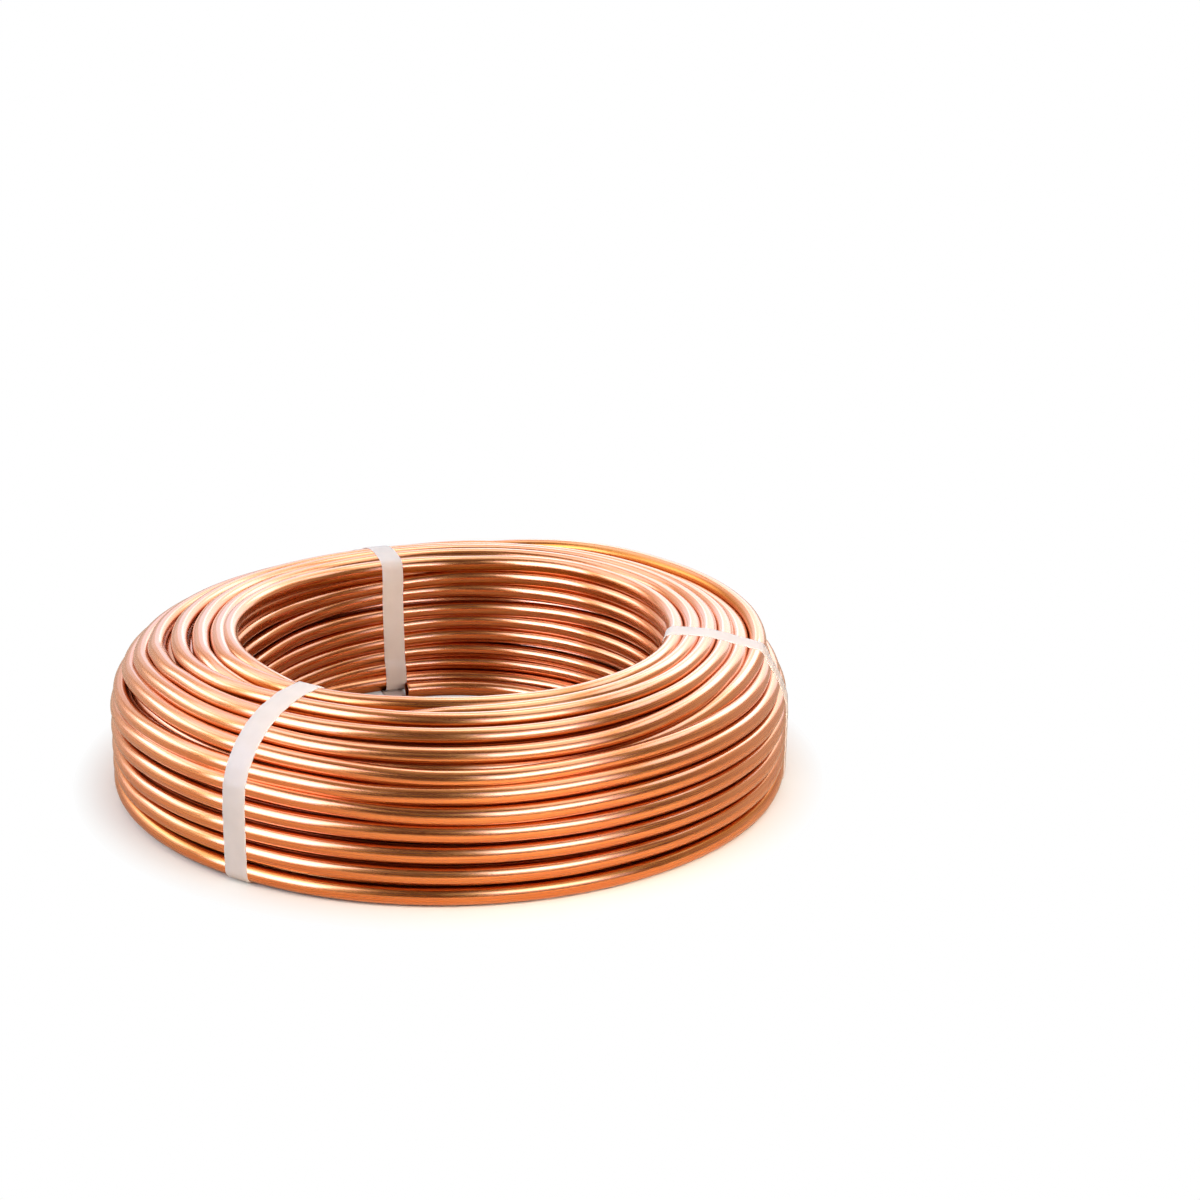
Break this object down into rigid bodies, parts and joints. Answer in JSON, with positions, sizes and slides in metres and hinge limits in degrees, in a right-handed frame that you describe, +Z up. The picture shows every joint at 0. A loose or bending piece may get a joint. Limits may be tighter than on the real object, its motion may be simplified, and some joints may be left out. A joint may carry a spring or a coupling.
{
  "type": "copper tube coil",
  "caption": "Long soft copper tube wound in layers into a flat ring with an open centre, bound with flat plastic straps.",
  "frame": {"origin": "on the floor under the centre of the ring", "axes": "+Z up along the ring's axis, -Y towards the side seen from the front, +X to the right"},
  "size_m": [0.3712, 0.371, 0.086],
  "materials": {
    "copper": "bright drawn soft copper, semi-gloss",
    "strap_plastic": "matte embossed white strapping"
  },
  "bodies": {
    "root": {"tube_coil": "copper", "strap_front_left": "strap_plastic", "strap_back_left": "strap_plastic", "strap_right": "strap_plastic"}
  },
  "joints": []
}
